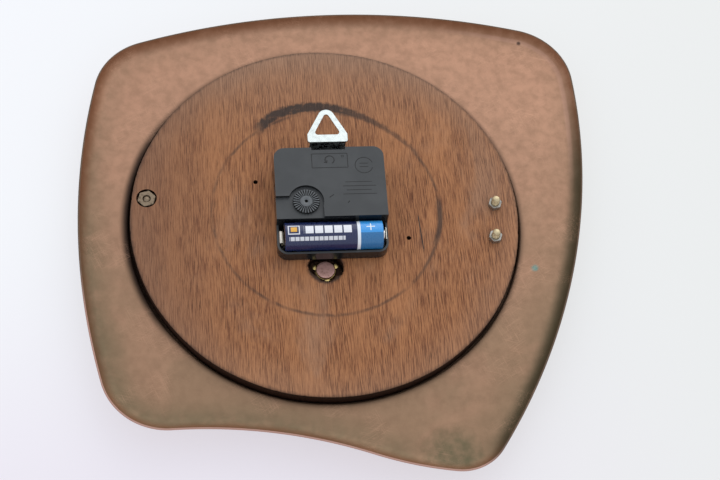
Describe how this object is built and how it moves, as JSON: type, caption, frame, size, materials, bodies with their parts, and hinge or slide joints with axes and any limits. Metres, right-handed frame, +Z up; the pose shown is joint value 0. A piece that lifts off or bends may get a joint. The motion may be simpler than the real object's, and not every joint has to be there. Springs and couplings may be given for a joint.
{
  "type": "wall clock",
  "caption": "Freeform copper wall clock with a turned-up rim, a round plywood back, a battery quartz movement with its full wheel train, and three hands.",
  "frame": {"origin": "top of the hanger eye, at the middle of the hanger sheet, where the wall hook bears", "axes": "+Z up towards twelve, +Y into the wall behind the clock, the dial faces -Y, and +X is at the right of someone who reads the dial"},
  "size_m": [0.2622, 0.037, 0.2609],
  "materials": {
    "copper_sheet": "aged brown copper, semi-matt, with greenish patina near the rim",
    "plywood": "teak-faced plywood, oiled long ago, fine open grain",
    "old_steel": "dull steel",
    "dull_brass": "dull brass",
    "plug_copper": "satin copper",
    "claw_brass": "bright brass",
    "marker_brass": "satin brass",
    "zinc_plate": "bright zinc plate",
    "case_black": "fine spark-eroded black plastic",
    "knob_black": "moulded black plastic",
    "cell_wrap": "printed glossy sleeve, dark blue with a pale blue end",
    "contact_nickel": "nickel-plated spring strip",
    "board_green": "solder resist",
    "chip_resin": "black potting resin",
    "crystal_can": "drawn metal can",
    "bobbin_white": "natural plastic",
    "magnet_wire": "enamelled copper wire",
    "soft_iron": "stamped soft iron",
    "rotor_magnet": "sintered magnet",
    "wheel_plastic": "natural white plastic",
    "hand_red": "satin red paint"
  },
  "bodies": {
    "clock": {"copper_plate": "copper_sheet", "backing_disc": "plywood", "left_bolt": "old_steel", "left_nut": "old_steel", "right_bolts": "dull_brass", "right_nuts": "old_steel", "winding_hole_plug": "plug_copper", "plug_claws": "claw_brass", "hour_markers": "marker_brass", "hanger": "zinc_plate", "front_case": "case_black", "back_cover": "case_black", "threaded_bush": "marker_brass", "shaft_washer": "marker_brass", "shaft_nut": "marker_brass", "negative_contact": "contact_nickel", "positive_contact": "contact_nickel", "circuit_board": "board_green", "driver_chip": "chip_resin", "quartz_crystal": "crystal_can", "coil_bobbin": "bobbin_white", "coil_winding": "magnet_wire", "coil_core": "soft_iron", "stator": "soft_iron"},
    "rotor": {"rotor": "rotor_magnet"},
    "intermediate": {"intermediate_wheel": "wheel_plastic"},
    "seconds": {"second_wheel": "wheel_plastic", "second_hand": "hand_red"},
    "third": {"third_wheel": "wheel_plastic"},
    "minute_disc": {"minute_wheel": "wheel_plastic"},
    "minutes": {"cannon_pinion": "wheel_plastic", "minute_hand": "marker_brass"},
    "motion": {"motion_wheel": "wheel_plastic"},
    "hours": {"hour_wheel": "wheel_plastic", "hour_hand": "marker_brass"},
    "knob": {"setting_knob": "knob_black"},
    "cell": {"battery": "cell_wrap"}
  },
  "joints": [
    {"name": "second_hand_turn", "type": "hinge", "parent": "clock", "child": "seconds", "pos_m": [0, -0.0067, -0.0468], "axis": [0, 1, 0], "continuous": true},
    {"name": "rotor_turn", "type": "hinge", "parent": "clock", "child": "rotor", "pos_m": [-0.01877, -0.0067, -0.04534], "axis": [0, 1, 0], "continuous": true},
    {"name": "intermediate_turn", "type": "hinge", "parent": "clock", "child": "intermediate", "pos_m": [-0.0105, -0.0067, -0.0468], "axis": [0, 1, 0], "continuous": true},
    {"name": "third_turn", "type": "hinge", "parent": "clock", "child": "third", "pos_m": [-0.0051, -0.0067, -0.03797], "axis": [0, 1, 0], "continuous": true},
    {"name": "minute_disc_turn", "type": "hinge", "parent": "clock", "child": "minute_disc", "pos_m": [0, -0.0067, -0.0468], "axis": [0, 1, 0], "continuous": true},
    {"name": "minute_hand_turn", "type": "hinge", "parent": "clock", "child": "minutes", "pos_m": [0, -0.0067, -0.0468], "axis": [0, 1, 0], "continuous": true},
    {"name": "motion_turn", "type": "hinge", "parent": "clock", "child": "motion", "pos_m": [0.00717, -0.0067, -0.04136], "axis": [0, 1, 0], "continuous": true},
    {"name": "hour_hand_turn", "type": "hinge", "parent": "clock", "child": "hours", "pos_m": [0, -0.0067, -0.0468], "axis": [0, 1, 0], "continuous": true},
    {"name": "knob_turn", "type": "hinge", "parent": "clock", "child": "knob", "pos_m": [0.0128, -0.0067, -0.0495], "axis": [0, 1, 0], "continuous": true},
    {"name": "battery_out", "type": "slide", "parent": "clock", "child": "cell", "axis": [0, 1, 0], "range_m": [0, 0.03]}
  ],
  "couplings": [
    {"joint": "rotor_turn", "follows": "second_hand_turn", "ratio": 30},
    {"joint": "intermediate_turn", "follows": "second_hand_turn", "ratio": -6},
    {"joint": "third_turn", "follows": "second_hand_turn", "ratio": -0.13333},
    {"joint": "minute_disc_turn", "follows": "second_hand_turn", "ratio": 0.016667},
    {"joint": "motion_turn", "follows": "minute_hand_turn", "ratio": -0.33333},
    {"joint": "hour_hand_turn", "follows": "minute_hand_turn", "ratio": 0.083333},
    {"joint": "knob_turn", "follows": "minute_hand_turn", "ratio": 0.71429}
  ]
}
